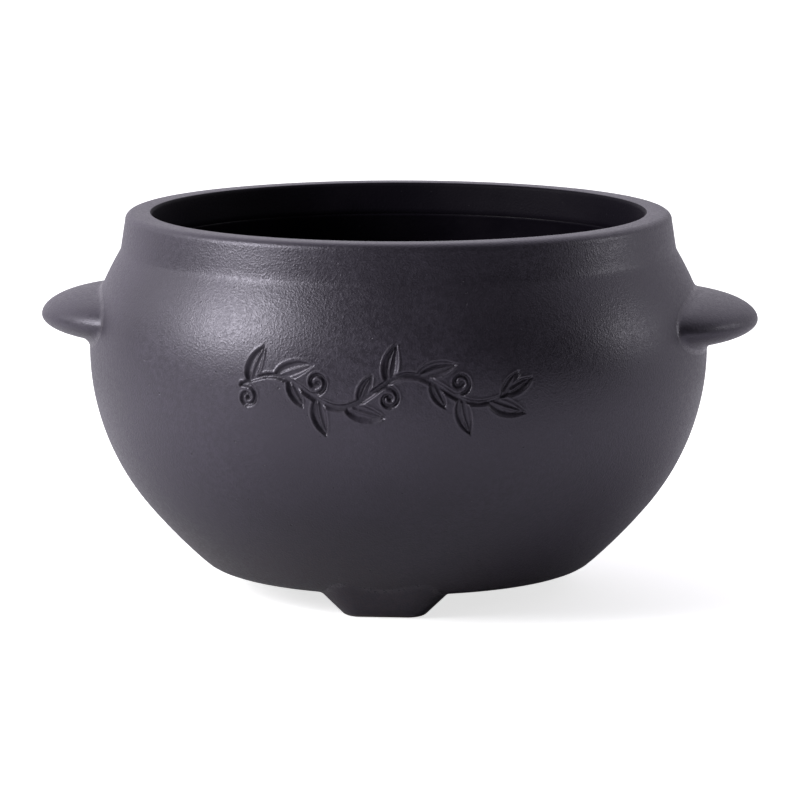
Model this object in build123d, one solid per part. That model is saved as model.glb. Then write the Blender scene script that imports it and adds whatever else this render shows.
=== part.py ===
from build123d import *
import math
import os

# A stoneware sand pot: a thrown bowl with two half-moon lugs, three short feet and a glazed inside.
# Millimetres, +Z up. The origin is on the pot's axis, in the plane that the three feet stand on.
# The lugs lie along X, and one foot lies at the front, on -Y.

# Bowl, outside: the widest ring of the belly, and how far the other rings are set in from it
pot_height = 151.5
belly_radius = 123.5
belly_drop = 54.2
base_height = 9.2
base_inset = 48.2
base_corner_radius = 12.0
crease_inset = 12.6
crease_softness = 6.0

# How the wall turns from the belly to the base and to the crease: the nearer arc's radius and turn,
# against the single arc that would join the same two rings
lower_radius_share = 0.9263
lower_turn_share = 1.3842
upper_radius_share = 0.9199
upper_turn_share = 1.338

# Neck and lip
neck_height = 15.1
neck_top_inset = 14.0
lip_band_height = 4.6
lip_step = 0.4
lip_outer_round = 3.2
lip_inner_round = 1.6
mouth_inset = 25.3

# Wall, floor and inside
wall_thickness = 9.0
floor_thickness = 9.5
floor_corner_radius = 16.0
mouth_edge_round = 4.0
glaze_thickness = 0.4

# Lugs
lug_stand_out = 20.1
lug_rise = 12.0
lug_crown_radius = 20.0
lug_slope_width = 30.0
lug_upper_thickness = 11.4
lug_lower_thickness = 9.5
lug_root_round = 4.0

# Feet
foot_setback = 3.6
foot_bottom_width = 31.0
foot_bottom_depth = 17.0
foot_corner_radius = 7.0
foot_corner_growth_share = 0.8
foot_side_slope = 43.0
foot_front_slope = 59.0
foot_edge_round = 4.0
foot_root_round = 4.0

# How far a cutting body runs past what it cuts
overrun = 5.0

# How near an edge's middle lies to both pieces where they meet
seam_tolerance = 0.001

full_turn = 360.0
half_turn = 180.0
quarter_turn = 90.0
foot_names = ["foot_front", "foot_rear_right", "foot_rear_left"]


def polar(centre, radius, angle):
    """A point of the half-section at an angle above the horizontal, in degrees."""
    turn = math.radians(angle)
    return (centre[0] + radius * math.cos(turn), centre[1] + radius * math.sin(turn))


def tangent_circle(start, start_centre, end):
    """Centre and radius of the circle that leaves an arc smoothly at start and passes through end."""
    start_radius = math.dist(start, start_centre)
    inward = [(start_centre[i] - start[i]) / start_radius for i in range(2)]
    chord = [end[i] - start[i] for i in range(2)]
    radius = (chord[0] ** 2 + chord[1] ** 2) / (2 * (chord[0] * inward[0] + chord[1] * inward[1]))
    return (start[0] + radius * inward[0], start[1] + radius * inward[1]), radius


def angle_from(centre, point):
    """The direction from a centre to a point, in degrees above the horizontal."""
    return math.degrees(math.atan2(point[1] - centre[1], point[0] - centre[0]))


def arc_between(centre, radius, first_angle, last_angle):
    """An arc of the half-section, through its middle point."""
    angles = (first_angle, (first_angle + last_angle) / 2, last_angle)
    return ThreePointArc(*[polar(centre, radius, angle) for angle in angles])


def wall_bend(ring, radius_share, turn_share):
    """The two smooth arcs from the belly's widest ring to another ring of the half-section."""
    inset = belly_radius - ring[0]
    rise = ring[1] - belly_height
    single_radius = (inset ** 2 + rise ** 2) / (2 * inset)
    near_radius = radius_share * single_radius
    near_centre = (belly_radius - near_radius, belly_height)
    turn = turn_share * math.degrees(math.copysign(math.atan2(inset, abs(rise)), rise))
    far_centre, far_radius = tangent_circle(polar(near_centre, near_radius, turn), near_centre, ring)
    return near_centre, near_radius, turn, far_centre, far_radius


# The rings of the half-section
belly_height = pot_height - belly_drop
base_edge = (belly_radius - base_inset, base_height)
crease = (belly_radius - crease_inset, pot_height - neck_height)
neck_top_radius = belly_radius - neck_top_inset
mouth_radius = belly_radius - mouth_inset
floor_height = base_height + floor_thickness
lip_band_base = pot_height - lip_band_height
lip_band_radius = neck_top_radius - lip_step

# The bowl's four smooth arcs, as centres and radii that the inside shares with the outside
belly_centre, belly_turn_radius, lower_turn, lower_centre, lower_radius = wall_bend(
    base_edge, lower_radius_share, lower_turn_share
)
shoulder_centre, shoulder_radius, upper_turn, upper_centre, upper_radius = wall_bend(
    crease, upper_radius_share, upper_turn_share
)


def revolved(lines, rounds):
    """Revolve a closed half-section about the axis, with some of its corners rounded."""
    section = make_face(Wire(lines))
    for corner, radius in rounds:
        nearest = min(section.vertices(), key=lambda vertex: math.dist((vertex.X, vertex.Y), corner))
        section = fillet(nearest, radius)
    return revolve(Plane.YZ * section, Axis.Z, full_turn)


def wall_arcs(depth, low_end, high_end):
    """The wall's arcs, drawn in by a depth, from a point on the lowest one to a point on the highest."""
    return [
        arc_between(lower_centre, lower_radius - depth, angle_from(lower_centre, low_end), lower_turn),
        arc_between(belly_centre, belly_turn_radius - depth, lower_turn, 0),
        arc_between(shoulder_centre, shoulder_radius - depth, 0, upper_turn),
        arc_between(upper_centre, upper_radius - depth, upper_turn, angle_from(upper_centre, high_end)),
    ]


def bowl_outside():
    """The bowl as a solid form, with nothing hollowed out."""
    neck_top = (neck_top_radius, lip_band_base)
    band_foot = (lip_band_radius, lip_band_base)
    lip_outer = (lip_band_radius, pot_height)
    lines = [
        Line((0, base_height), base_edge),
        *wall_arcs(0, base_edge, crease),
        Line(crease, neck_top),
        Line(neck_top, band_foot),
        Line(band_foot, lip_outer),
        Line(lip_outer, (0, pot_height)),
        Line((0, pot_height), (0, base_height)),
    ]
    rounds = [(base_edge, base_corner_radius), (crease, crease_softness), (lip_outer, lip_outer_round)]
    return revolved(lines, rounds)


def cavity(inset):
    """The hollow of the bowl, drawn in by an inset from the bare clay wall."""
    floor = floor_height + inset
    depth = wall_thickness + inset
    bore = mouth_radius - inset
    lower = lower_radius - depth
    floor_edge = (lower_centre[0] + math.sqrt(lower ** 2 - (lower_centre[1] - floor) ** 2), floor)
    upper = upper_radius - depth
    bore_foot = (bore, upper_centre[1] + math.sqrt(upper ** 2 - (bore - upper_centre[0]) ** 2))
    top = pot_height + overrun
    lines = [
        Line((0, floor), floor_edge),
        *wall_arcs(depth, floor_edge, bore_foot),
        Line(bore_foot, (bore, top)),
        Line((bore, top), (0, top)),
        Line((0, top), (0, floor)),
    ]
    rounds = [(floor_edge, floor_corner_radius - inset), (bore_foot, mouth_edge_round + inset)]
    return revolved(lines, rounds)


def make_pot_body():
    """The thrown clay wall, from the floor to the lip."""
    body = bowl_outside() - cavity(0)
    lip_edges = body.edges().group_by(Axis.Z)[-1]
    return fillet(lip_edges.sort_by(lambda edge: edge.radius)[0], lip_inner_round)


def make_inner_glaze():
    """The glaze that seals the porous clay inside, up to just below the straight mouth."""
    coat = cavity(0) - cavity(glaze_thickness)
    upper = upper_radius - wall_thickness
    line_radius = mouth_radius + 2 * glaze_thickness
    glaze_line = upper_centre[1] + math.sqrt(upper ** 2 - (line_radius - upper_centre[0]) ** 2)
    reach = belly_radius + overrun
    trim = Pos(0, 0, glaze_line) * Box(
        2 * reach, 2 * reach, 2 * pot_height, align=(Align.CENTER, Align.CENTER, Align.MIN)
    )
    return coat - trim


def root_edges(joined, clay):
    """The edges where a luted piece meets the bowl: those that lie on both of them."""
    return [
        edge for edge in joined.edges()
        if max(bowl.distance_to(edge @ 0.5), clay.distance_to(edge @ 0.5)) < seam_tolerance
    ]


def luted(clay, root_round):
    """Press a piece of clay on the bowl, smooth its root, and keep what stands outside the bowl."""
    reach = clay.bounding_box().size + 4 * Vector(root_round, root_round, root_round)
    backing = bowl & (Pos(clay.bounding_box().center()) * Box(*reach))
    joined = backing + clay
    joined = fillet(root_edges(joined, clay), root_round)
    return joined - backing


def make_lug():
    """The right half-moon lug: a flat-crowned lens of clay whose inner part the bowl takes up."""
    lens_radius = lug_crown_radius + lug_slope_width
    crown_edge = (lug_crown_radius, 0)
    section = make_face(Wire([
        EllipticalCenterArc(
            crown_edge, lug_slope_width, lug_lower_thickness, -quarter_turn, arc_size=quarter_turn
        ),
        EllipticalCenterArc(crown_edge, lug_slope_width, lug_upper_thickness, 0, arc_size=quarter_turn),
        Line((lug_crown_radius, lug_upper_thickness), (0, lug_upper_thickness)),
        Line((0, lug_upper_thickness), (0, -lug_lower_thickness)),
        Line((0, -lug_lower_thickness), (lug_crown_radius, -lug_lower_thickness)),
    ]))
    lens = revolve(Plane.XZ * section, Axis.Z, full_turn)
    tip = belly_radius + lug_stand_out
    placed = Pos(lens_radius - tip, 0, belly_height + lug_rise) * lens
    return luted(Rot(0, 0, half_turn) * placed, lug_root_round)


def foot_outline(height):
    """The foot's outline at a height above the ground, which spreads towards the base."""
    side = height / math.tan(math.radians(foot_side_slope))
    front = height / math.tan(math.radians(foot_front_slope))
    depth = foot_bottom_depth + front + side
    width = foot_bottom_width + 2 * side
    corner = foot_corner_radius + foot_corner_growth_share * side
    centre = base_edge[0] - foot_setback + front - depth / 2
    return Pos(centre, 0, height) * RectangleRounded(depth, width, corner)


def make_foot():
    """The front foot: a short block of pressed clay under the edge of the base."""
    block = loft([foot_outline(0), foot_outline(base_height + base_corner_radius)], ruled=True)
    block = fillet(block.edges().group_by(Axis.Z)[0], foot_edge_round)
    return luted(Rot(0, 0, -quarter_turn) * block, foot_root_round)


bowl = bowl_outside()
lug = make_lug()
foot = make_foot()
nodes = {
    "pot_body": make_pot_body(),
    "inner_glaze": make_inner_glaze(),
    "lug_left": mirror(lug, Plane.YZ),
    "lug_right": lug,
}
for index, name in enumerate(foot_names):
    nodes[name] = Rot(0, 0, index * full_turn / len(foot_names)) * foot

os.makedirs("parts", exist_ok=True)
for name, solid in nodes.items():
    export_step(solid, f"parts/{name}.step")
    box = solid.bounding_box()
    print(name, round(solid.volume), [round(v, 2) for v in (*box.min, *box.max)])
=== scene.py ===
import math

import bpy
import numpy as np
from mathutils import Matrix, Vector


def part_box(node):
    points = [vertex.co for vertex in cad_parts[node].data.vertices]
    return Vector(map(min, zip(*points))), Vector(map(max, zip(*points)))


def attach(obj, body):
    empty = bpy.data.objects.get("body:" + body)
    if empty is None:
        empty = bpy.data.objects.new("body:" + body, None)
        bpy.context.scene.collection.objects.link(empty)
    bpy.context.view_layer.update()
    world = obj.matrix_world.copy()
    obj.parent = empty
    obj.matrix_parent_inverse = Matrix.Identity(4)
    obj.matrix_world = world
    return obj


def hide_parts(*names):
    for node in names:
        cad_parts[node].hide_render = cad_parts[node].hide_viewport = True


bl_info = {
    "name": "Sand Pot",
    "version": (1, 0, 0),
    "blender": (4, 5, 0),
    "location": "3D View > Sidebar > Sand Pot",
    "description": "Dresses a stoneware sand pot: thrown wall, cut scroll, lugs, feet, glaze and studio",
    "category": "Add Mesh",
}

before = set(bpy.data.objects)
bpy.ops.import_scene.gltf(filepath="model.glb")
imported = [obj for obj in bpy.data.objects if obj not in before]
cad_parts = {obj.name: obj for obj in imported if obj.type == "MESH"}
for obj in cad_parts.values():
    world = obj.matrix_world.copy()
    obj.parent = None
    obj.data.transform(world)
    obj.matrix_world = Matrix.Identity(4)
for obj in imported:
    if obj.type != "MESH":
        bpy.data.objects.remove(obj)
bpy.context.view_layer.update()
body_low, body_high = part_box("pot_body")
glaze_low, glaze_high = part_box("inner_glaze")

UNITS = 0.001
BODY = "root"
CLAY_NODES = ("lug_left", "lug_right", "foot_front", "foot_rear_right", "foot_rear_left")


# Sizes and colours that a user would change

def length(name, description, default):
    return bpy.props.FloatProperty(
        name=name, description=description, default=default, min=0.0, precision=5, unit="LENGTH"
    )


def share(name, description, default):
    return bpy.props.FloatProperty(name=name, description=description, default=default, min=0.0, precision=4)


def colour(name, description, default):
    return bpy.props.FloatVectorProperty(
        name=name, description=description, default=default, size=3, min=0.0, max=1.0, subtype="COLOR"
    )


def angle(name, description, degrees):
    return bpy.props.FloatProperty(
        name=name, description=description, default=math.radians(degrees), subtype="ANGLE"
    )


class SandPotShape(bpy.types.PropertyGroup):
    """The half-section of the thrown wall, measured as the potter would, from its widest ring."""

    belly_drop: length("Belly drop", "From the lip down to the widest ring", 0.0542)
    base_inset: length("Base inset", "How far the base's edge lies inside the widest ring", 0.0482)
    base_corner: length("Base corner", "Round between the base and the wall", 0.012)
    crease_inset: length("Crease inset", "How far the neck's foot lies inside the widest ring", 0.0126)
    crease_softness: length("Crease softness", "Round at the neck's foot", 0.006)
    neck_height: length("Neck height", "From the lip down to the neck's foot", 0.0151)
    neck_top_inset: length("Neck top inset", "How far the neck's top lies inside the widest ring", 0.014)
    lip_band: length("Lip band", "Height of the band under the lip", 0.0046)
    lip_step: length("Lip step", "How far the band is set back from the neck", 0.0004)
    lip_blend: length("Lip blend", "Height over which that step is smoothed out", 0.0022)
    lip_outer_round: length("Lip outer round", "Round at the lip's outer edge", 0.0032)
    lip_inner_round: length("Lip inner round", "Round at the lip's inner edge", 0.0016)
    mouth_inset: length("Mouth inset", "How far the mouth's wall lies inside the widest ring", 0.0253)
    mouth_turn: share("Mouth turn", "How far the lip's round turns inward before the dark mouth begins", 0.5)
    mouth_edge_round: length("Mouth edge round", "Round under the straight mouth", 0.004)
    wall: length("Wall", "Thickness of the clay wall", 0.009)
    floor_corner: length("Floor corner", "Round between the floor and the wall, inside", 0.016)
    glaze: length("Glaze", "Thickness of the glaze inside", 0.0004)
    glaze_fade: length("Glaze fade", "Height over which the glaze thins out to its upper edge", 0.005)
    glaze_edge: length("Glaze edge", "Thickness of the glaze at its upper edge", 0.00005)
    lower_radius: share("Lower radius", "Belly arc's radius against the single arc to the base", 0.9263)
    lower_turn: share("Lower turn", "Belly arc's turn against the lean of the chord to the base", 1.3842)
    upper_radius: share("Upper radius", "Shoulder arc's radius against the single arc to the crease", 0.9199)
    upper_turn: share("Upper turn", "Shoulder arc's turn against the lean of the chord to the crease", 1.338)


class SandPotScroll(bpy.types.PropertyGroup):
    """The leafy scroll that is cut into the front of the belly."""

    centre_rise: length("Centre rise", "Height of the scroll's middle above the widest ring", 0.0)
    turn: angle("Turn", "How far the scroll's middle lies to the right of the front foot", 0.6)
    half_width: length("Half width", "Half of the scroll's length round the belly", 0.055)
    wave: length("Wave", "How far the stem swings up and down", 0.0066)
    wave_count: bpy.props.IntProperty(
        name="Waves", description="Swings of the stem, up and down", default=4, min=1
    )
    stem: length("Stem", "Half of the stem's width", 0.0014)
    leaf_length: length("Leaf length", "Length of a leaf", 0.0165)
    leaf_half: length("Leaf half width", "Half of a leaf's greatest width", 0.003)
    curl: length("Curl", "Radius at which a tendril leaves the stem", 0.0056)
    curl_turns: share("Curl turns", "How often a tendril winds round", 1.3)
    depth: length("Depth", "How deep the tool went into the clay", 0.0014)
    burr: length("Burr", "Height of the clay pushed up beside a cut", 0.00032)
    pitch: length("Mesh pitch", "Spacing of the mesh where the scroll is cut", 0.00032)


class SandPotFinish(bpy.types.PropertyGroup):
    """Colours of the fired clay and of the glaze inside."""

    clay: colour("Clay", "Body colour of the dark stoneware", (0.042, 0.0365, 0.051))
    clay_deep: colour("Clay, deep", "Its darker clouds", (0.026, 0.0225, 0.031))
    clay_warm: colour("Clay, warm", "The browner clay low on the wall", (0.052, 0.036, 0.036))
    speck: colour("Speck", "Light sand grains that show at the surface", (0.16, 0.15, 0.17))
    # Worn: lighter edges, partly rubbed wear and partly a painted highlight along the rims
    worn_and_highlight: colour("Worn clay and edge highlight", "Edges that are handled or stood on", (0.085, 0.078, 0.088))
    bare: colour("Bare clay", "Undersides of the feet, which the slip was wiped from", (0.12, 0.092, 0.078))
    # Lining colours: the dark glaze's own colour deepened by painted shade inside the pot; they also paint
    # the shade on the clay of the mouth
    lining: colour("Lining", "Glaze inside the pot", (0.0058, 0.0046, 0.0084))
    lining_cloud: colour("Lining cloud", "Where that glaze broke thin", (0.012, 0.010, 0.015))
    air: colour("Air", "Tint of the light that the room and the floor throw back", (0.94, 0.90, 1.0))
    floor: colour("Floor", "The studio's floor, as the camera sees it", (0.80, 0.80, 0.81))
    floor_bounce: colour("Floor bounce", "What the floor throws back at the pot", (0.50, 0.50, 0.51))


class SandPotStudio(bpy.types.PropertyGroup):
    """The camera and the soft lamps."""

    camera_distance: length("Camera distance", "From the pot's middle to the lens", 2.008)
    camera_turn: angle("Camera turn", "How far the camera stands to the right of the front foot", 4.8)
    camera_rise: angle("Camera rise", "How far the camera looks down", 9.0)
    aim_height: length("Aim height", "Height that the camera looks at", 0.0748)
    aim_right: length("Aim right", "How far right of the axis the camera looks", 0.0006)
    lens: bpy.props.FloatProperty(
        name="Lens", description="Focal length in millimetres", default=225.0, min=1.0
    )
    room: share("Room", "Brightness of the room on the camera's side", 0.036)
    back_left: share("Back left", "Brightness of the pale wall behind the pot, on the left", 0.98)
    back_right: share("Back right", "The same on the right", 0.56)
    overhead: share("Overhead", "Brightness of the room above the pot and behind it", 1.0)
    floor_glow: share("Floor glow", "How far the floor is lifted to white for the camera", 0.72)
    sheen_near: share("Near sheen", "Brightness of the floor round the pot, in the pot's sheen", 0.465)
    sheen_front: share("Front sheen", "The same farther out, on the camera's side", 0.0)
    sheen_back: share("Back sheen", "The same farther out, behind the pot", 0.56)


# Half-sections

# How far apart their points lie, how many a round gets, and the end of a trimmed run in which none is kept
POINT_STEP = 0.25 * UNITS
LIP_POINT_STEP = 0.1 * UNITS
ROUND_POINTS = 14
TRIM_SHARE = 1e-6


def unit(vector):
    return vector / np.linalg.norm(vector)


def wrapped(turn):
    """A turn brought to within half a circle either way."""
    return (turn + math.pi) % math.tau - math.pi


def straight(first, last, step=POINT_STEP):
    count = max(2, int(math.dist(first, last) / step) + 1)
    return np.linspace(first, last, count)


def arc(centre, radius, first, last):
    """Points of an arc between two angles above the horizontal."""
    count = max(3, int(abs(last - first) * radius / POINT_STEP) + 1)
    turn = np.linspace(first, last, count)
    return np.stack([centre[0] + radius * np.cos(turn), centre[1] + radius * np.sin(turn)], axis=1)


def angle_from(centre, point):
    return math.atan2(point[1] - centre[1], point[0] - centre[0])


def trimmed(run, reach):
    """A run of points without its first stretch, of a given length."""
    along = np.concatenate([[0], np.cumsum(np.linalg.norm(np.diff(run, axis=0), axis=1))])
    start = [np.interp(reach, along, run[:, axis]) for axis in range(2)]
    return np.vstack([start, run[along > reach * (1 + TRIM_SHARE)]])


def rounded(first, second, radius):
    """Two runs that meet in a corner, joined by a round of a given radius."""
    corner = second[0]
    back = unit(first[-3] - corner)
    ahead = unit(second[2] - corner)
    half = math.acos(np.clip(back @ ahead, -1, 1)) / 2
    reach = radius / math.tan(half)
    first = trimmed(first[::-1], reach)[::-1]
    second = trimmed(second, reach)
    s = np.linspace(0, 1, ROUND_POINTS)[1:-1, None]
    weights = ((1 - s) ** 2, 2 * math.sin(half) * s * (1 - s), s ** 2)
    blend = weights[0] * first[-1] + weights[1] * corner + weights[2] * second[0]
    return np.vstack([first, blend / sum(weights), second])


def chained(runs, rounds):
    """Several runs in one, each corner with its own round; a round of zero leaves it as it is."""
    whole = runs[0]
    for run, radius in zip(runs[1:], rounds):
        whole = rounded(whole, run, radius) if radius else np.vstack([whole, run[1:]])
    return whole


class Section:
    """The wall's arcs, worked out from the shape's sizes and the frame."""

    def __init__(self, shape):
        self.shape = shape
        self.belly = body_high.x
        self.height = body_high.z
        self.base = body_low.z
        self.belly_height = self.height - shape.belly_drop
        self.base_edge = np.array([self.belly - shape.base_inset, self.base])
        self.crease = np.array([self.belly - shape.crease_inset, self.height - shape.neck_height])
        self.mouth = self.belly - shape.mouth_inset
        self.low = self.bend(self.base_edge, shape.lower_radius, shape.lower_turn)
        self.high = self.bend(self.crease, shape.upper_radius, shape.upper_turn)

    def bend(self, ring, radius_share, turn_share):
        """Near centre, near radius, turn, far centre and far radius of the wall towards a ring."""
        inset = self.belly - ring[0]
        rise = ring[1] - self.belly_height
        near_radius = radius_share * (inset ** 2 + rise ** 2) / (2 * inset)
        near = np.array([self.belly - near_radius, self.belly_height])
        turn = turn_share * math.copysign(math.atan2(inset, abs(rise)), rise)
        start = near + near_radius * np.array([math.cos(turn), math.sin(turn)])
        inward = unit(near - start)
        chord = ring - start
        far_radius = (chord @ chord) / (2 * (chord @ inward))
        return near, near_radius, turn, start + far_radius * inward, far_radius

    def wall(self, depth, low_end, high_end):
        """The wall's four arcs, drawn in by a depth, from a low point to a high one."""
        near_low, near_low_radius, low_turn, far_low, far_low_radius = self.low
        near_high, near_high_radius, high_turn, far_high, far_high_radius = self.high
        return np.vstack([
            arc(far_low, far_low_radius - depth, angle_from(far_low, low_end), low_turn)[:-1],
            arc(near_low, near_low_radius - depth, low_turn, 0)[:-1],
            arc(near_high, near_high_radius - depth, 0, high_turn)[:-1],
            arc(far_high, far_high_radius - depth, high_turn, angle_from(far_high, high_end)),
        ])

    def outside(self):
        """From the middle of the base, up the wall and the neck, to the lip's outer edge."""
        shape = self.shape
        band = self.belly - shape.neck_top_inset - shape.lip_step
        neck_top = (self.belly - shape.neck_top_inset, self.height - shape.lip_band - shape.lip_blend / 2)
        band_foot = (band, self.height - shape.lip_band + shape.lip_blend / 2)
        lip_outer = (band, self.height)
        runs = [
            straight((0, self.base), self.base_edge),
            self.wall(0, self.base_edge, self.crease),
            straight(self.crease, neck_top),
            straight(neck_top, band_foot, LIP_POINT_STEP),
            straight(band_foot, lip_outer),
        ]
        rounds = [shape.base_corner, shape.crease_softness, shape.lip_blend, shape.lip_blend]
        return runs, rounds, lip_outer

    def inside(self):
        """From the middle of the floor up the inner wall, and the point where the mouth begins."""
        depth = self.shape.wall
        floor = glaze_low.z
        far_low, far_low_radius = self.low[3], self.low[4] - depth
        far_high, far_high_radius = self.high[3], self.high[4] - depth
        floor_edge = (far_low[0] + math.sqrt(far_low_radius ** 2 - (far_low[1] - floor) ** 2), floor)
        rise = math.sqrt(far_high_radius ** 2 - (self.mouth - far_high[0]) ** 2)
        bore_foot = (self.mouth, far_high[1] + rise)
        return [straight((0, floor), floor_edge), self.wall(depth, floor_edge, bore_foot)], bore_foot

    def whole(self):
        """From the middle of the base, over the lip, to the middle of the floor."""
        shape = self.shape
        runs, rounds, lip_outer = self.outside()
        (floor, wall), bore_foot = self.inside()
        lip_inner = (self.mouth, self.height)
        runs += [straight(lip_outer, lip_inner), straight(lip_inner, bore_foot), wall[::-1], floor[::-1]]
        rounds += [shape.lip_outer_round, shape.lip_inner_round, shape.mouth_edge_round, shape.floor_corner]
        return chained(runs, rounds)


# Rows of a turned mesh: the widest and the closest step, and the turn of the section that asks for a row
WIDEST_ROW = 3.0 * UNITS
CLOSEST_ROW = 0.12 * UNITS
WALL_ROW_TURN = math.radians(7)
LINING_ROW_TURN = math.radians(6)


def thinned(points, bend, fine=None):
    """Rows of a half-section: close where it turns or where it is to be fine, and wide elsewhere."""
    kept = [0]
    heading = None
    for index in range(1, len(points) - 1):
        step = points[index + 1] - points[index]
        now = math.atan2(step[1], step[0])
        if heading is None:
            heading = now
        gone = math.dist(points[index], points[kept[-1]])
        limit = fine[1] if fine and fine[0](points[index]) else WIDEST_ROW
        if gone >= limit or abs(wrapped(now - heading)) >= bend and gone > CLOSEST_ROW:
            kept.append(index)
            heading = now
    return points[kept + [len(points) - 1]]


# Turning a half-section into a mesh, with this many cells round the axis
CELLS = 180


def new_piece(name, vertices, faces):
    """A visible piece, made from its vertices and faces."""
    mesh = bpy.data.meshes.new(name)
    mesh.from_pydata(vertices, [], faces)
    piece = bpy.data.objects.new(name, mesh)
    bpy.context.scene.collection.objects.link(piece)
    return piece


def turned(name, rows, detail=None):
    """A mesh turned on the pot's axis; detail = (fine rows, fine cells, divisions, displace)."""
    fine_rows, fine_cells, divisions, displace = detail or ((), (), 1, None)
    tangent = np.gradient(rows, axis=0)
    normal = np.stack([tangent[:, 1], -tangent[:, 0]], axis=1)
    normal /= np.linalg.norm(normal, axis=1)[:, None]
    vertices = []
    rings = []
    total = 0
    for row, (radius, height) in enumerate(rows):
        if radius < UNITS:
            vertices.append(np.array([[0.0, 0.0, height]]))
            rings.append([total])
            total += 1
            continue
        fine = row in fine_rows
        counts = [divisions if fine and cell in fine_cells else 1 for cell in range(CELLS)]
        turns = np.concatenate([
            (cell + np.arange(count) / count) * math.tau / CELLS for cell, count in enumerate(counts)
        ]) - math.pi / 2
        push = displace(turns, height) if fine else np.zeros(len(turns))
        out = radius + push * normal[row, 0]
        up = height + push * normal[row, 1]
        vertices.append(np.stack([out * np.cos(turns), out * np.sin(turns), up], axis=1))
        starts = total + np.concatenate([[0], np.cumsum(counts)])
        cells = [list(range(starts[c], starts[c + 1] + 1)) for c in range(CELLS)]
        cells[-1][-1] = total
        rings.append(cells)
        total += len(turns)
    faces = []
    for low, high in zip(rings, rings[1:]):
        if len(low) == 1:
            faces += [(low[0], cell[1], cell[0]) for cell in high]
        elif len(high) == 1:
            faces += [(cell[0], cell[1], high[0]) for cell in low]
        else:
            for a, b in zip(low, high):
                faces += strip(a, b)
    piece = new_piece(name, np.concatenate(vertices).tolist(), faces)
    piece.data.validate()
    piece.data.polygons.foreach_set("use_smooth", [True] * len(piece.data.polygons))
    return piece


def strip(low, high):
    """Faces between two rows of one cell, whether or not both rows are divided alike."""
    if len(low) == len(high):
        return [(low[i], low[i + 1], high[i + 1], high[i]) for i in range(len(low) - 1)]
    if len(low) == 2:
        middle = len(high) // 2
        fans = [(low[0], high[i + 1], high[i]) for i in range(middle)]
        fans += [(low[0], low[1], high[middle])]
        return fans + [(low[1], high[i + 1], high[i]) for i in range(middle, len(high) - 1)]
    middle = len(low) // 2
    fans = [(low[i], low[i + 1], high[0]) for i in range(middle)]
    fans += [(low[middle], high[1], high[0])]
    return fans + [(low[i], low[i + 1], high[1]) for i in range(middle, len(low) - 1)]


# The cut scroll

# Stem: the wave's height at its ends, where it is cut, its width at the ends, how soon it swells
WAVE_END_SHARE = 0.55
STEM_END_SHARES = (0.02, 0.98)
STEM_SLIM_SHARE = 0.25
STEM_SWELL = 0.35
STEM_POINTS = 460

# Leaf: how far it bends back, its width at the foot, how its outline swells, fills out and closes
LEAF_BEND_SHARE = 0.45
LEAF_FOOT_SHARE = 0.12
LEAF_SWELL = 0.72
LEAF_FULLNESS = 0.9
LEAF_CLOSING = 6
LEAF_POINTS = 90
LEAST_HALF = 0.05 * UNITS

# Tendril: its lean, how it quickens and tightens, its width against the stem's with the bead at its end
CURL_LEAN = 0.25
CURL_QUICKENING = 1.25
CURL_START_SHARE = 0.12
CURL_TIGHT_SHARE = 0.84
CURL_TIGHTENING = 0.8
CURL_WIDTH_SHARE = 0.66
CURL_THINNING_SHARE = 0.16
CURL_BEAD_SHARE = 0.4
CURL_BEAD_END = 10
CURL_DEPTH_SHARE = 0.85
CURL_POINTS = 170

# Round each bend: the leaves' places from its crest as shares of a swing, their leans and sizes,
# and the tendril's place; and the same three values for the leaf at the stem's end
LEAVES = ((-0.30, -1.05, 0.92), (0.10, -0.62, 1.0), (0.30, 0.75, 0.72))
CURL_PLACE_SHARE = 0.44
LAST_LEAF = (0.965, 0.15, 0.75)

# Groove: where its floor and its side end as shares of the half width, and from what half width it is deep
GROOVE_SHARES = (0.58, 1.02)
FULL_DEPTH_HALF = 0.72 * UNITS
CUT_REACH_SHARE = 1.6

# Vein that a leaf keeps: its height, its half width, and the leaf's half width from which it is full
VEIN_SHARE = 0.5
VEIN_HALF = 0.42 * UNITS
FULL_VEIN_HALF = 1.5 * UNITS

# Burr: how far beside the cut it stands, its width, the half widths of cuts over which it grows,
# and the share of the depth at which a neighbouring cut has taken it away
BURR_OFFSET = 0.32 * UNITS
BURR_WIDTH = 0.30 * UNITS
BURR_HALVES = (0.3 * UNITS, 1.0 * UNITS)
BURR_LOST_SHARE = 0.25


def along_stem(scroll, share_along):
    """Place and direction of the stem at a share of its length."""
    u = (2 * share_along - 1) * scroll.half_width
    phase = math.pi * scroll.wave_count * share_along
    fade = WAVE_END_SHARE + (1 - WAVE_END_SHARE) * np.sin(math.pi * share_along)
    v = scroll.wave * fade * np.sin(phase)
    slope = scroll.wave * fade * math.pi * scroll.wave_count * np.cos(phase) / (2 * scroll.half_width)
    return np.array([u, v]), math.atan(slope)


def walked(start, bearing, step):
    """Points reached from a start by small steps, each with its own bearing."""
    ahead = np.stack([np.cos(bearing), np.sin(bearing)], axis=1)
    return start + np.cumsum(ahead * np.reshape(step, (-1, 1)), axis=0)


def stem_cut(scroll):
    """The stem as points, half widths, depth and whether it keeps a vein, as all cuts are given."""
    points = np.array([along_stem(scroll, s)[0] for s in np.linspace(*STEM_END_SHARES, STEM_POINTS)])
    swell = np.sin(np.linspace(0, math.pi, STEM_POINTS)) ** STEM_SWELL
    return points, scroll.stem * (STEM_SLIM_SHARE + (1 - STEM_SLIM_SHARE) * swell), scroll.depth, False


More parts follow.
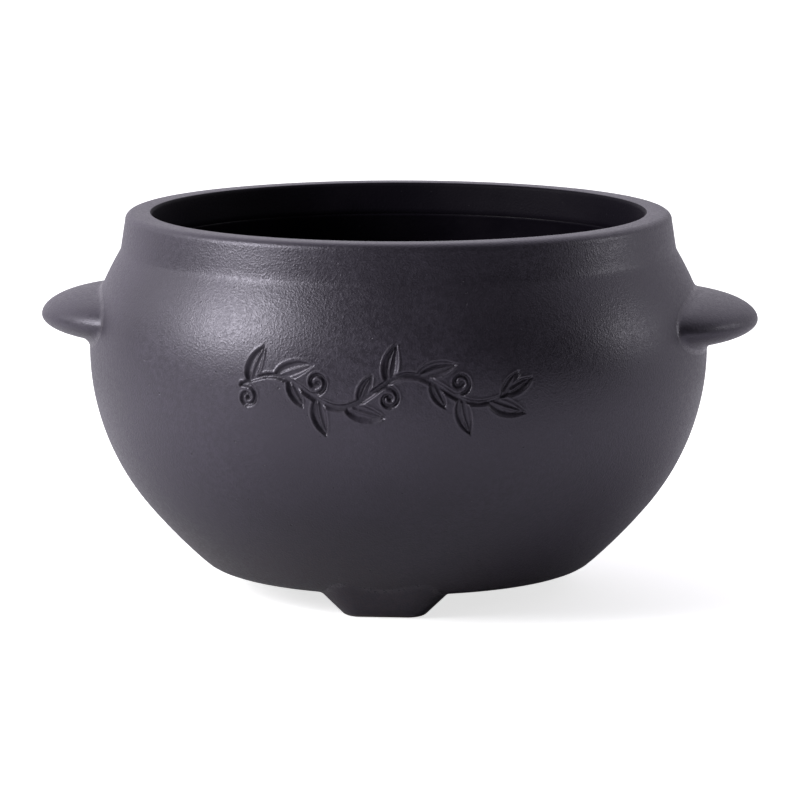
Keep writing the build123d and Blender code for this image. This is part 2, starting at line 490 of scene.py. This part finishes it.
def leaf_cut(scroll, share_along, lean, size):
    """A leaf: it leaves the stem at a lean and bends back along it, widest near its foot."""
    start, heading = along_stem(scroll, share_along)
    s = np.linspace(0, 1, LEAF_POINTS)
    bearing = heading + lean * (1 - LEAF_BEND_SHARE * s)
    points = walked(start, bearing, scroll.leaf_length * size / LEAF_POINTS)
    outline = LEAF_FOOT_SHARE + np.sin(math.pi * s ** LEAF_SWELL) ** LEAF_FULLNESS
    half = scroll.leaf_half * size * outline * (1 - s ** LEAF_CLOSING)
    return points, half + LEAST_HALF, scroll.depth, True


def curl_cut(scroll, share_along, side):
    """A tendril that leaves the stem and winds in on itself."""
    start, heading = along_stem(scroll, share_along)
    s = np.linspace(0, 1, CURL_POINTS)
    winding = scroll.curl_turns * math.tau
    bearing = heading + side * (CURL_LEAN + winding * s ** CURL_QUICKENING)
    radius = scroll.curl * (1 - CURL_TIGHT_SHARE * s ** CURL_TIGHTENING)
    pace = CURL_QUICKENING * np.maximum(s, CURL_START_SHARE) ** (CURL_QUICKENING - 1)
    points = walked(start, bearing, radius * winding * pace / CURL_POINTS)
    width = CURL_WIDTH_SHARE - CURL_THINNING_SHARE * s + CURL_BEAD_SHARE * s ** CURL_BEAD_END
    return points, scroll.stem * width, scroll.depth * CURL_DEPTH_SHARE, False


def scroll_cuts(scroll):
    """Every cut of the scroll: the stem, and round each of its bends a tendril and three leaves."""
    cuts = [stem_cut(scroll)]
    swing = 1 / scroll.wave_count
    for index in range(scroll.wave_count):
        side = 1 if index % 2 else -1
        crest = (index + 0.5) * swing
        cuts += [leaf_cut(scroll, crest + place * swing, side * lean, size) for place, lean, size in LEAVES]
        cuts.append(curl_cut(scroll, crest - CURL_PLACE_SHARE * swing, side))
    cuts.append(leaf_cut(scroll, *LAST_LEAF))
    return cuts


def smooth(low, high, value):
    s = np.clip((value - low) / (high - low), 0, 1)
    return s * s * (3 - 2 * s)


def cut_height(scroll, cuts, across, up):
    """How far the clay stands above (or, when negative, below) the plain wall."""
    sunk = np.zeros_like(across)
    raised = np.zeros_like(across)
    for points, half, depth, veined in cuts:
        margin = half.max() * CUT_REACH_SHARE
        low = points.min(axis=0) - margin
        high = points.max(axis=0) + margin
        near = np.flatnonzero((across > low[0]) & (across < high[0]) & (up > low[1]) & (up < high[1]))
        if not len(near):
            continue
        gaps = np.hypot(across[near, None] - points[:, 0], up[near, None] - points[:, 1])
        nearest = (gaps - half).argmin(axis=1)
        gap = gaps[np.arange(len(near)), nearest]
        width = half[nearest]
        deep = depth * smooth(0.0, FULL_DEPTH_HALF, width) * (1 - smooth(*GROOVE_SHARES, gap / width))
        if veined:
            vein = np.exp(-(gap / VEIN_HALF) ** 2) * smooth(0.0, FULL_VEIN_HALF, width)
            deep *= 1 - VEIN_SHARE * vein
        sunk[near] = np.maximum(sunk[near], deep)
        ridge = np.exp(-((gap - width - BURR_OFFSET) / BURR_WIDTH) ** 2) * smooth(*BURR_HALVES, width)
        raised[near] = np.maximum(raised[near], scroll.burr * ridge)
    return raised * (1 - smooth(0.0, BURR_LOST_SHARE, sunk / scroll.depth)) - sunk


# Materials

# The colour sockets of a Mix node, which share their names with its other ones
MIX_COLOUR_INPUTS = (6, 7)
MIX_COLOUR_OUTPUT = 2

# The fired grain: the mottle's and the specks' scale against the peel's and the pits', the share of cells
# without a pit or a speck, and the sizes of pits, of a pit's floor and of specks against their cells
MOTTLE_SCALE_SHARE = 0.38
SPECK_SCALE_SHARE = 3.1
NO_PIT_SHARE = 0.35
NO_SPECK_SHARE = 0.80
PIT_SHARES = (0.055, 0.105)
PIT_FLOOR_SHARE = 0.35
SPECK_SHARES = (0.05, 0.085)

# How closely the eased and the plain normal agree off an edge and on it
EDGE_AGREEMENT = (0.995, 0.93)

# Heights above the ground over which the browner clay and the wiped undersides fade, and how far the
# browner clay's border wanders with the clouds
WARM_HEIGHTS = (0.045, 0.008)
WIPED_HEIGHTS = (0.0016, 0.0002)
WARM_DRIFT = (-0.012, 0.012)

# Relief: what each mark of the grain adds, and how deep one unit of it is
CLAY_RELIEF = {"Peel": 1.0, "Sand": 0.40, "Mottle": 0.6, "Cloud": 1.2, "Speck": 0.25, "Pit": -1.3}
CLAY_DEPTH = 0.00011
MOUTH_DEPTH = 0.0001
LINING_RELIEF = {"Peel": 0.8, "Pit": -1.0}
LINING_DEPTH = 0.0002
PAPER_DEPTH = 0.0001

# Near black of the pits: painted shade in their hollows
PIT_SHADE_COLOUR = (0.004, 0.0035, 0.005)
CLAY_SHEEN = (0.90, 0.86, 1.0, 1.0)
WHITE = (1.0, 1.0, 1.0)

# The studio's floor, by the distance from the pot's axis: where the camera sees it go over to white, where
# the near sheen comes and goes, and where the far sheen comes
WHITE_RISE = (0.09, 0.32)
NEAR_RISE = (0.06, 0.30)
NEAR_FALL = (0.65, 0.35)
FAR_RISE = (0.35, 0.90)

# The far sheen from front to back and from left to right, and its level on the right
FAR_DEPTH = (-0.15, 0.25)
FAR_BREADTH = (-0.4, 0.4)
FAR_RIGHT_SHARE = 0.75


class Graph:
    """A small helper that adds nodes to one tree and joins them."""

    def __init__(self, tree):
        self.tree = tree

    def join(self, socket, value):
        """Lead another node's output to a socket, or set the socket's own value."""
        if isinstance(value, bpy.types.NodeSocket):
            self.tree.links.new(value, socket)
        else:
            socket.default_value = value

    def add(self, kind, inputs=None, **settings):
        node = self.tree.nodes.new(kind)
        for key, value in settings.items():
            setattr(node, key, value)
        for key, value in (inputs or {}).items():
            self.join(node.inputs[key], value)
        return node

    def math(self, operation, first, second):
        return self.add("ShaderNodeMath", {0: first, 1: second}, operation=operation).outputs[0]

    def scaled(self, value, share):
        return self.math("MULTIPLY", value, share)

    def total(self, first, *others):
        """Several values added up."""
        for value in others:
            first = self.math("ADD", first, value)
        return first

    def weighed(self, values, shares):
        """Several values added up, each times its share."""
        return self.total(*[self.scaled(values[name], share) for name, share in shares.items()])

    def spread(self, value, low, high, to_low=0.0, to_high=1.0):
        """A value's own range, carried over to another one."""
        node = self.add("ShaderNodeMapRange", {
            "Value": value, "From Min": low, "From Max": high, "To Min": to_low, "To Max": to_high,
        }, interpolation_type="SMOOTHSTEP")
        return node.outputs["Result"]

    def tint(self, factor, first, second):
        """One colour going over into another."""
        node = self.add("ShaderNodeMix", {"Factor": factor}, data_type="RGBA")
        for index, value in zip(MIX_COLOUR_INPUTS, (first, second)):
            linked = isinstance(value, bpy.types.NodeSocket)
            self.join(node.inputs[index], value if linked else (*value, 1.0))
        return node.outputs[MIX_COLOUR_OUTPUT]


def new_group(name, inputs, outputs):
    group = bpy.data.node_groups.new(name, "ShaderNodeTree")
    for socket_name, default in inputs:
        socket = group.interface.new_socket(socket_name, in_out="INPUT", socket_type="NodeSocketFloat")
        socket.default_value = default
    for socket_name in outputs:
        group.interface.new_socket(socket_name, in_out="OUTPUT", socket_type="NodeSocketFloat")
    graph = Graph(group)
    return graph, graph.add("NodeGroupInput"), graph.add("NodeGroupOutput")


def fired_grain():
    """Sandy fired surface: clouds, mottle, orange peel, fine sand, sunk pits and light specks."""
    if "Fired grain" in bpy.data.node_groups:
        return bpy.data.node_groups["Fired grain"]
    graph, given, result = new_group(
        "Fired grain",
        [("Cloud Scale", 16.0), ("Peel Scale", 1300.0), ("Sand Scale", 1900.0), ("Pit Scale", 170.0)],
        ["Cloud", "Mottle", "Peel", "Sand", "Pit", "Speck"],
    )
    scales = given.outputs
    place = graph.add("ShaderNodeTexCoord").outputs["Object"]
    noises = (
        ("Cloud", scales["Cloud Scale"], 4.0, 0.55),
        ("Mottle", graph.scaled(scales["Peel Scale"], MOTTLE_SCALE_SHARE), 3.0, 0.6),
        ("Peel", scales["Peel Scale"], 1.0, 0.4),
        ("Sand", scales["Sand Scale"], 3.0, 0.65),
    )
    for name, scale, detail, roughness in noises:
        noise = graph.add("ShaderNodeTexNoise", {
            "Vector": place, "Scale": scale, "Detail": detail, "Roughness": roughness,
        })
        graph.join(result.inputs[name], noise.outputs["Fac"])
    cells = graph.add("ShaderNodeTexVoronoi", {"Vector": place, "Scale": scales["Pit Scale"]}).outputs
    chance = graph.add("ShaderNodeSeparateColor", {"Color": cells["Color"]}).outputs
    size = graph.spread(chance["Green"], 0.0, 1.0, *PIT_SHARES)
    hole = graph.spread(cells["Distance"], graph.scaled(size, PIT_FLOOR_SHARE), size, 1.0, 0.0)
    present = graph.math("GREATER_THAN", chance["Red"], NO_PIT_SHARE)
    graph.join(result.inputs["Pit"], graph.scaled(hole, present))
    fine = graph.scaled(scales["Pit Scale"], SPECK_SCALE_SHARE)
    cells = graph.add("ShaderNodeTexVoronoi", {"Vector": place, "Scale": fine}).outputs
    chance = graph.add("ShaderNodeSeparateColor", {"Color": cells["Color"]}).outputs
    speck = graph.spread(cells["Distance"], *SPECK_SHARES, 1.0, 0.0)
    present = graph.math("GREATER_THAN", chance["Blue"], NO_SPECK_SHARE)
    graph.join(result.inputs["Speck"], graph.scaled(speck, present))
    return graph.tree


def edge_wear_and_highlight():
    """Where edges stand proud, get rubbed and take a painted highlight, broken up by a little noise."""
    if "Edge wear and highlight" in bpy.data.node_groups:
        return bpy.data.node_groups["Edge wear and highlight"]
    graph, given, result = new_group("Edge wear and highlight", [("Reach", 0.0016), ("Amount", 1.0)], ["Wear"])
    eased = graph.add("ShaderNodeBevel", {"Radius": given.outputs["Reach"]}, samples=4)
    facing = graph.add("ShaderNodeNewGeometry")
    agree = graph.add("ShaderNodeVectorMath", {
        0: eased.outputs["Normal"], 1: facing.outputs["Normal"],
    }, operation="DOT_PRODUCT").outputs["Value"]
    place = graph.add("ShaderNodeTexCoord").outputs["Object"]
    patch = graph.add("ShaderNodeTexNoise", {
        "Vector": place, "Scale": 210.0, "Detail": 4.0, "Roughness": 0.6,
    })
    broken = graph.spread(patch.outputs["Fac"], 0.36, 0.66, 0.25, 1.0)
    wear_and_highlight = graph.scaled(graph.spread(agree, *EDGE_AGREEMENT), broken)
    graph.join(result.inputs["Wear"], graph.scaled(wear_and_highlight, given.outputs["Amount"]))
    return graph.tree


def new_material(name):
    material = bpy.data.materials.new(name)
    material.use_nodes = True
    material.node_tree.nodes.clear()
    return material, Graph(material.node_tree)


def placed(graph, group, values=None):
    node = graph.add("ShaderNodeGroup", node_tree=group)
    for key, value in (values or {}).items():
        node.inputs[key].default_value = value
    return node.outputs


def coated(graph, base, rough, relief, depth, sockets, strength=1.0):
    """The shader of a surface whose relief is worked in as bump."""
    bump = graph.add("ShaderNodeBump", {"Height": relief, "Strength": strength, "Distance": depth})
    return graph.add("ShaderNodeBsdfPrincipled", {
        "Base Color": base, "Roughness": rough, "Normal": bump.outputs["Normal"], **sockets,
    })


def surfaced(graph, shader):
    output = graph.add("ShaderNodeOutputMaterial")
    graph.join(output.inputs["Surface"], shader.outputs[0])


def stoneware(finish):
    """Dark stoneware with a thin fired slip: satin, sandy, browner towards the fire."""
    if "Dark stoneware" in bpy.data.materials:
        return bpy.data.materials["Dark stoneware"]
    material, graph = new_material("Dark stoneware")
    grain = placed(graph, fired_grain())
    wear_and_highlight = placed(graph, edge_wear_and_highlight())["Wear"]
    place = graph.add("ShaderNodeTexCoord").outputs["Object"]
    height = graph.add("ShaderNodeSeparateXYZ", {0: place}).outputs["Z"]
    drifting = graph.total(height, graph.spread(grain["Cloud"], 0.3, 0.7, *WARM_DRIFT))
    warm = graph.spread(drifting, *WARM_HEIGHTS)
    wiped = graph.spread(height, *WIPED_HEIGHTS)
    mottle = graph.spread(grain["Mottle"], 0.38, 0.62)

    base = graph.tint(graph.spread(grain["Cloud"], 0.32, 0.68), finish.clay_deep, finish.clay)
    # Each mark, how strongly it tints the clay, and its colour
    marks = (
        (warm, 0.34, finish.clay_warm),
        (mottle, 0.75, finish.clay_deep),
        (grain["Speck"], 0.45, finish.speck),
        # Pits darkened to near black: painted shade in their hollows
        (grain["Pit"], 0.8, PIT_SHADE_COLOUR),
        # Edges lightened: rubbed wear and a painted highlight along the rims
        (wear_and_highlight, 0.5, finish.worn_and_highlight),
        (wiped, 0.85, finish.bare),
    )
    for mark, strength, tone in marks:
        base = graph.tint(graph.scaled(mark, strength), base, tone)

    rough = graph.total(
        graph.spread(grain["Cloud"], 0.3, 0.7, 0.355, 0.405),
        graph.spread(grain["Peel"], 0.35, 0.65, 0.06, -0.02),
        graph.spread(grain["Mottle"], 0.38, 0.62, 0.035, -0.03),
        graph.scaled(wear_and_highlight, -0.12),
        graph.scaled(wiped, 0.33),
    )
    surfaced(graph, coated(graph, base, rough, graph.weighed(grain, CLAY_RELIEF), CLAY_DEPTH, {
        "IOR": 1.6, "Specular Tint": CLAY_SHEEN,
    }))
    return material


def glaze_and_shade(graph, grain, finish, strength):
    """The nearly black colour inside the pot, with its clouds and light specks: painted shade on the mouth's
    clay, and on the lining the glaze's dark colour deepened by painted shade.
    """
    base = graph.tint(graph.spread(grain["Cloud"], 0.35, 0.7), finish.lining, finish.lining_cloud)
    return graph.tint(graph.scaled(grain["Speck"], strength), base, finish.speck)


def mouth_clay_shade(finish):
    """The clay inside the mouth, above the glaze: painted shade, nearly black and dull."""
    material, graph = new_material("Mouth clay shade")
    grain = placed(graph, fired_grain())
    base = glaze_and_shade(graph, grain, finish, 0.3)
    rough = graph.spread(grain["Sand"], 0.3, 0.7, 0.55, 0.65)
    surfaced(graph, coated(graph, base, rough, grain["Peel"], MOUTH_DEPTH, {
        "IOR": 1.5, "Specular IOR Level": 0.06,
    }))
    return material


def liner(finish):
    """Near-black glaze inside, its colour deepened by painted shade: smoother than the clay in the mouth,
    with a fine dry speckle.
    """
    material, graph = new_material("Liner glaze")
    grain = placed(graph, fired_grain(), {"Cloud Scale": 22.0, "Peel Scale": 430.0})
    base = glaze_and_shade(graph, grain, finish, 0.35)
    rough = graph.spread(grain["Sand"], 0.3, 0.7, 0.36, 0.46)
    surfaced(graph, coated(graph, base, rough, graph.weighed(grain, LINING_RELIEF), LINING_DEPTH, {
        "IOR": 1.5, "Specular IOR Level": 0.10,
    }, strength=0.6))
    return material


def studio_paper(finish, studio):
    """Paper that the camera sees as white but for the pot's shadow; from below it is clear."""
    material, graph = new_material("Studio paper")
    path = graph.add("ShaderNodeLightPath").outputs
    seen = path["Is Camera Ray"]
    mirrored = graph.math("MAXIMUM", path["Is Glossy Ray"], path["Is Transmission Ray"])
    place = graph.add("ShaderNodeTexCoord").outputs["Object"]
    axes = graph.add("ShaderNodeSeparateXYZ", {0: place}).outputs
    away = graph.add("ShaderNodeVectorMath", {0: place}, operation="LENGTH").outputs["Value"]
    white = graph.spread(away, *WHITE_RISE, studio.floor_glow, 1.0)
    near = graph.scaled(
        graph.spread(away, *NEAR_RISE), graph.spread(away, *NEAR_FALL, 0.0, studio.sheen_near)
    )
    far = graph.scaled(graph.spread(away, *FAR_RISE), graph.scaled(
        graph.spread(axes["Y"], *FAR_DEPTH, studio.sheen_front, studio.sheen_back),
        graph.spread(axes["X"], *FAR_BREADTH, 1.0, FAR_RIGHT_SHARE),
    ))
    glow = graph.math("MAXIMUM", graph.scaled(seen, white), graph.scaled(mirrored, graph.total(near, far)))
    shade = graph.tint(seen, finish.floor_bounce, finish.floor)
    tooth = graph.add("ShaderNodeTexNoise", {"Vector": place, "Scale": 900.0, "Detail": 2.0})
    shader = coated(graph, shade, 0.9, tooth.outputs["Fac"], PAPER_DEPTH, {
        "Emission Color": graph.tint(seen, finish.air, WHITE), "Emission Strength": glow,
    }, strength=0.1)
    clear = graph.add("ShaderNodeBsdfTransparent")
    below = graph.add("ShaderNodeNewGeometry").outputs["Backfacing"]
    surfaced(graph, graph.add("ShaderNodeMixShader", {0: below, 1: shader.outputs[0], 2: clear.outputs[0]}))
    return material


# Operators

# Fine mesh for the scroll: how far it reaches above and below the stem's middle against its wave, how far
# past the stem's ends, and how far in from the widest ring the wall still counts as the outside
FINE_REACH_SHARE = 3.2
FINE_MARGIN = math.radians(3)
OUTSIDE_SHARE = 0.7


class SANDPOT_OT_wall(bpy.types.Operator):
    """Turn the clay wall and cut the leafy scroll into its front"""

    bl_idname = "sandpot.wall"
    bl_label = "Thrown wall"

    def execute(self, context):
        scene = context.scene
        shape, scroll, finish = scene.sandpot_shape, scene.sandpot_scroll, scene.sandpot_finish
        section = Section(shape)
        middle = section.belly_height + scroll.centre_rise
        cell = math.tau / CELLS
        span = scroll.half_width / section.belly + FINE_MARGIN
        cuts = scroll_cuts(scroll)

        def is_fine(point):
            near = abs(point[1] - middle) < FINE_REACH_SHARE * scroll.wave
            return near and point[0] > section.belly - shape.wall * OUTSIDE_SHARE

        def displace(turns, height):
            across = wrapped(turns + math.pi / 2 - scroll.turn) * section.belly
            return cut_height(scroll, cuts, across, np.full(len(turns), height - middle))

        rows = thinned(section.whole(), WALL_ROW_TURN, (is_fine, scroll.pitch))
        fine_rows = {index for index, row in enumerate(rows) if is_fine(row)}
        fine_cells = {
            index for index in range(CELLS) if -span - cell < wrapped(index * cell - scroll.turn) < span
        }
        divisions = max(2, round(cell * section.belly / scroll.pitch))
        piece = turned("thrown_wall", rows, (fine_rows, fine_cells, divisions, displace))
        piece.data.materials.append(stoneware(finish))
        piece.data.materials.append(mouth_clay_shade(finish))
        # Faces that turn inward in the mouth take the near-black painted shade of the mouth clay
        for face in piece.data.polygons:
            outward = Vector((face.center.x, face.center.y, 0)).normalized()
            face.material_index = int(face.normal.dot(outward) < -shape.mouth_turn)
        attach(piece, BODY)
        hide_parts("pot_body")
        return {"FINISHED"}


class SANDPOT_OT_lining(bpy.types.Operator):
    """Lay the thin glaze inside the pot, fading out to its upper edge"""

    bl_idname = "sandpot.lining"
    bl_label = "Glaze lining"

    def execute(self, context):
        scene = context.scene
        shape = scene.sandpot_shape
        section = Section(shape)
        wall = chained(section.inside()[0], [shape.floor_corner])
        wall = wall[wall[:, 1] < glaze_high.z]
        along = np.gradient(wall, axis=0)
        inward = np.stack([-along[:, 1], along[:, 0]], axis=1) / np.linalg.norm(along, axis=1)[:, None]
        fade = smooth(0, shape.glaze_fade, glaze_high.z - wall[:, 1])
        coat = wall + inward * (shape.glaze_edge + (shape.glaze - shape.glaze_edge) * fade)[:, None]
        clay_side, free_side = (thinned(side, LINING_ROW_TURN) for side in (wall, coat))
        piece = turned("glaze_lining", np.vstack([clay_side, free_side[::-1]]))
        # The side against the clay and the strip at the upper edge are left with flat faces
        flat = len(clay_side) * CELLS
        faces = piece.data.polygons
        faces.foreach_set("use_smooth", [index >= flat for index in range(len(faces))])
        piece.data.materials.append(liner(scene.sandpot_finish))
        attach(piece, BODY)
        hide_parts("inner_glaze")
        return {"FINISHED"}


class SANDPOT_OT_lugs_and_feet(bpy.types.Operator):
    """Give the luted lugs and feet the finish of the wall"""

    bl_idname = "sandpot.lugs_and_feet"
    bl_label = "Lugs and feet"

    def execute(self, context):
        clay = stoneware(context.scene.sandpot_finish)
        for name in CLAY_NODES:
            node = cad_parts[name]
            node.data.materials.clear()
            node.data.materials.append(clay)
            node.data.polygons.foreach_set("use_smooth", [True] * len(node.data.polygons))
        return {"FINISHED"}


# Name, turn to the right of the camera and rise above the pot in degrees, distance, width, height, watts
LAMPS = (
    ("key_softbox", -65.5, 27, 1.25, 0.56, 0.60, 16.9),
    ("left_softbox", -100, 25, 1.25, 0.60, 0.50, 1.0),
    ("side_softbox", 95, 14, 1.30, 0.26, 0.30, 1.6),
)

# The paper: its radius, its sides, and how far it lies below the feet
PAPER_REACH = 6.0
PAPER_SIDES = 72
PAPER_DROP = 0.05 * UNITS

# The room, by the direction that is looked in: the back wall from left to right, from front to back and
# towards its top, and the pale ceiling from below and from the front
WALL_BREADTH = (-0.5, 0.5)
WALL_DEPTH = (-0.15, 0.75)
WALL_TOP = (0.9, 0.2)
CEILING_RISE = (0.25, 0.7)
CEILING_DEPTH = (-0.3, 0.5)


def aimed(piece, aim, turn, rise, distance):
    """Set up a lamp or the camera, turned about the pot to the right of its front foot and raised."""
    heading = turn - math.pi / 2
    way = Vector((math.cos(heading) * math.cos(rise), math.sin(heading) * math.cos(rise), math.sin(rise)))
    piece.location = aim + way * distance
    piece.rotation_euler = way.to_track_quat("Z", "Y").to_euler()
    bpy.context.scene.collection.objects.link(piece)


class SANDPOT_OT_stage(bpy.types.Operator):
    """Set up the pale floor, the backdrop, the soft lamps and the camera"""

    bl_idname = "sandpot.stage"
    bl_label = "Studio"

    def execute(self, context):
        scene = context.scene
        studio, finish = scene.sandpot_studio, scene.sandpot_finish
        self.paper(studio, finish)
        self.room(scene, studio, finish)
        for values in LAMPS:
            self.lamp(studio, *values)
        camera = bpy.data.cameras.new("camera")
        camera.lens = studio.lens
        camera.dof.use_dof = False
        view = bpy.data.objects.new("camera", camera)
        aim = Vector((studio.aim_right, 0, studio.aim_height))
        aimed(view, aim, studio.camera_turn, studio.camera_rise, studio.camera_distance)
        scene.camera = view
        scene.view_settings.view_transform = "Standard"
        return {"FINISHED"}

    def paper(self, studio, finish):
        """A wide sheet of pale paper under the pot."""
        turns = [math.tau * index / PAPER_SIDES for index in range(PAPER_SIDES)]
        edge = [(PAPER_REACH * math.cos(t), PAPER_REACH * math.sin(t), -PAPER_DROP) for t in turns]
        piece = new_piece("studio_floor", edge, [tuple(range(PAPER_SIDES))])
        piece.data.materials.append(studio_paper(finish, studio))

    def lamp(self, studio, name, turn, rise, distance, width, height, power):
        """A soft lamp that looks at the pot."""
        data = bpy.data.lights.new(name, "AREA")
        data.shape = "RECTANGLE"
        data.size = width
        data.size_y = height
        data.energy = power
        piece = bpy.data.objects.new(name, data)
        piece.visible_camera = False
        aim = Vector((0, 0, studio.aim_height))
        aimed(piece, aim, studio.camera_turn + math.radians(turn), math.radians(rise), distance)

    def room(self, scene, studio, finish):
        """A dim room with a pale wall and ceiling behind the pot, all of which the camera sees as white."""
        world = bpy.data.worlds.new("room")
        scene.world = world
        world.use_nodes = True
        world.node_tree.nodes.clear()
        graph = Graph(world.node_tree)
        place = graph.add("ShaderNodeTexCoord").outputs["Generated"]
        axes = graph.add("ShaderNodeSeparateXYZ", {0: place}).outputs
        wall = graph.spread(axes["X"], *WALL_BREADTH, studio.back_left, studio.back_right)
        behind = graph.scaled(graph.spread(axes["Y"], *WALL_DEPTH), graph.spread(axes["Z"], *WALL_TOP))
        above = graph.scaled(graph.spread(axes["Z"], *CEILING_RISE), graph.spread(axes["Y"], *CEILING_DEPTH))
        level = graph.total(studio.room, graph.scaled(wall, behind), graph.scaled(above, studio.overhead))
        seen = graph.add("ShaderNodeLightPath").outputs["Is Camera Ray"]
        shader = graph.add("ShaderNodeBackground", {
            "Color": graph.tint(seen, finish.air, WHITE), "Strength": graph.math("MAXIMUM", level, seen),
        })
        output = graph.add("ShaderNodeOutputWorld")
        graph.join(output.inputs["Surface"], shader.outputs[0])


class VIEW3D_PT_sandpot(bpy.types.Panel):
    """The pot's operators and sizes in the sidebar"""

    bl_idname = "VIEW3D_PT_sandpot"
    bl_label = "Sand Pot"
    bl_space_type = "VIEW_3D"
    bl_region_type = "UI"
    bl_category = "Sand Pot"

    def draw(self, context):
        for operator in OPERATORS:
            self.layout.operator(operator.bl_idname)
        for key, group in GROUPS.items():
            box = self.layout.box()
            for name in group.__annotations__:
                box.prop(getattr(context.scene, key), name)


GROUPS = {
    "sandpot_shape": SandPotShape,
    "sandpot_scroll": SandPotScroll,
    "sandpot_finish": SandPotFinish,
    "sandpot_studio": SandPotStudio,
}
OPERATORS = (SANDPOT_OT_wall, SANDPOT_OT_lining, SANDPOT_OT_lugs_and_feet, SANDPOT_OT_stage)


def register():
    for group in (*GROUPS.values(), *OPERATORS, VIEW3D_PT_sandpot):
        bpy.utils.register_class(group)
    for key, group in GROUPS.items():
        setattr(bpy.types.Scene, key, bpy.props.PointerProperty(type=group))


def unregister():
    for key in GROUPS:
        delattr(bpy.types.Scene, key)
    for group in reversed((*GROUPS.values(), *OPERATORS, VIEW3D_PT_sandpot)):
        bpy.utils.unregister_class(group)


def main():
    register()
    for operator in ("wall", "lining", "lugs_and_feet", "stage"):
        getattr(bpy.ops.sandpot, operator)()


if __name__ == "__main__":
    main()
